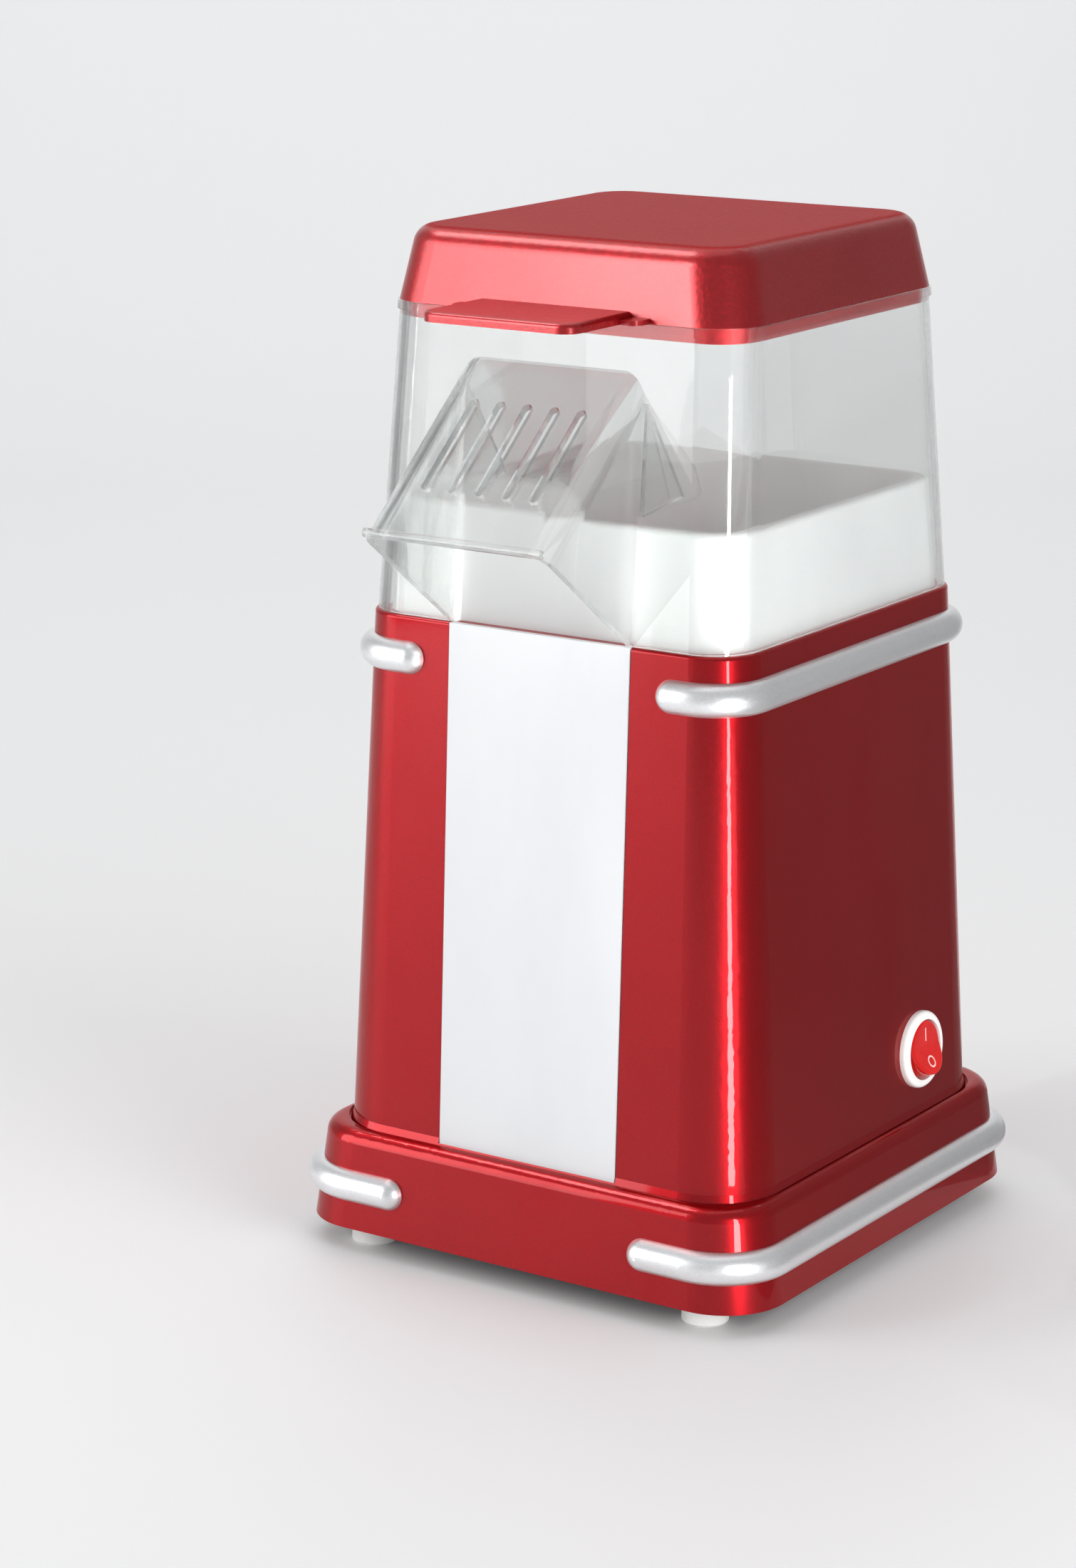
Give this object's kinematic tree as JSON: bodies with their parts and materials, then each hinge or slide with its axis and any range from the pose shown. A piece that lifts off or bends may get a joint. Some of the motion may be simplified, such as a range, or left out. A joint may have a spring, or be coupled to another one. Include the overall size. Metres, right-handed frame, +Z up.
{
  "type": "popcorn maker",
  "caption": "Hot-air popcorn maker: tapered red housing on a plinth, white front panel, clear lift-off hood with a pouring chute, lid with a finger tab, rocker switch.",
  "frame": {"origin": "on the worktop, on the vertical axis that the fan, motor and popping chamber share", "axes": "+Z up, front with chute and panel towards -Y, switch on the +X side"},
  "size_m": [0.1622, 0.1914, 0.298],
  "materials": {
    "housing_red": "glossy metallic lacquer",
    "lid_red": "satin metallic lacquer over a fine grain",
    "panel_white": "semi-gloss",
    "collar_white": "glossy",
    "band_silver": "satin silver lacquer",
    "clear_plastic": "water-clear",
    "base_black": "fine matt",
    "foot_white": "soft matt",
    "screw_steel": "zinc plated",
    "chamber_aluminium": "spun, satin",
    "shroud_steel": "rolled sheet",
    "bezel_white": "glossy",
    "rocker_red": "translucent, glossy",
    "terminal_brass": "plain",
    "inlet_black": "matt",
    "fan_plastic": "matt, heat resistant",
    "impeller_plastic": "matt",
    "shaft_steel": "ground",
    "motor_steel": "plated",
    "ferrite": "matt",
    "carbon": "matt",
    "core_steel": "laminated",
    "copper": "enamelled",
    "board_brown": "matt",
    "diode_black": "matt",
    "mica": "pearly",
    "heating_wire": "oxidised",
    "thermostat_steel": "plain",
    "fuse_ceramic": "plain",
    "wire_silicone": "matt"
  },
  "bodies": {
    "housing": {"plinth": "housing_red", "tower_housing": "housing_red", "front_panel": "panel_white", "upper_band": "band_silver", "lower_band": "band_silver", "base_plate": "base_black", "feet": "foot_white", "base_screws": "screw_steel", "housing_screws": "screw_steel", "popping_chamber": "chamber_aluminium", "chamber_screws": "screw_steel", "inner_collar": "collar_white", "collar_screws": "screw_steel", "switch_body": "bezel_white", "switch_terminals": "terminal_brass", "cord_inlet": "inlet_black", "fan_housing": "fan_plastic", "fan_housing_screws": "screw_steel", "motor_can": "motor_steel", "motor_end_cap": "fan_plastic", "motor_magnets": "ferrite", "motor_brushes": "carbon", "motor_screws": "screw_steel", "rectifier_board": "board_brown", "rectifier_diodes": "diode_black", "heater_shroud": "shroud_steel", "shroud_screws": "screw_steel", "heater_base": "mica", "heater_former": "mica", "heater_coil": "heating_wire", "thermostat": "thermostat_steel", "thermal_fuse": "fuse_ceramic", "wiring": "wire_silicone"},
    "hood": {"clear_hood": "clear_plastic"},
    "lid": {"lid": "lid_red"},
    "rocker": {"switch_rocker": "rocker_red"},
    "rotor": {"fan_impeller": "impeller_plastic", "motor_shaft": "shaft_steel", "rotor_core": "core_steel", "rotor_windings": "copper", "commutator": "copper"}
  },
  "joints": [
    {"name": "hood_lift", "type": "slide", "parent": "housing", "child": "hood", "axis": [0, 0, 1], "range_m": [0, 0.05]},
    {"name": "lid_lift", "type": "slide", "parent": "hood", "child": "lid", "axis": [0, 0, 1], "range_m": [0, 0.04]},
    {"name": "rocker_tilt", "type": "hinge", "parent": "housing", "child": "rocker", "pos_m": [0.06982, 0.031, 0.0553], "axis": [0, 1, 0], "range_deg": [0, 26]},
    {"name": "fan_spin", "type": "hinge", "parent": "housing", "child": "rotor", "pos_m": [0, 0, 0.05], "axis": [0, 0, 1], "continuous": true}
  ]
}
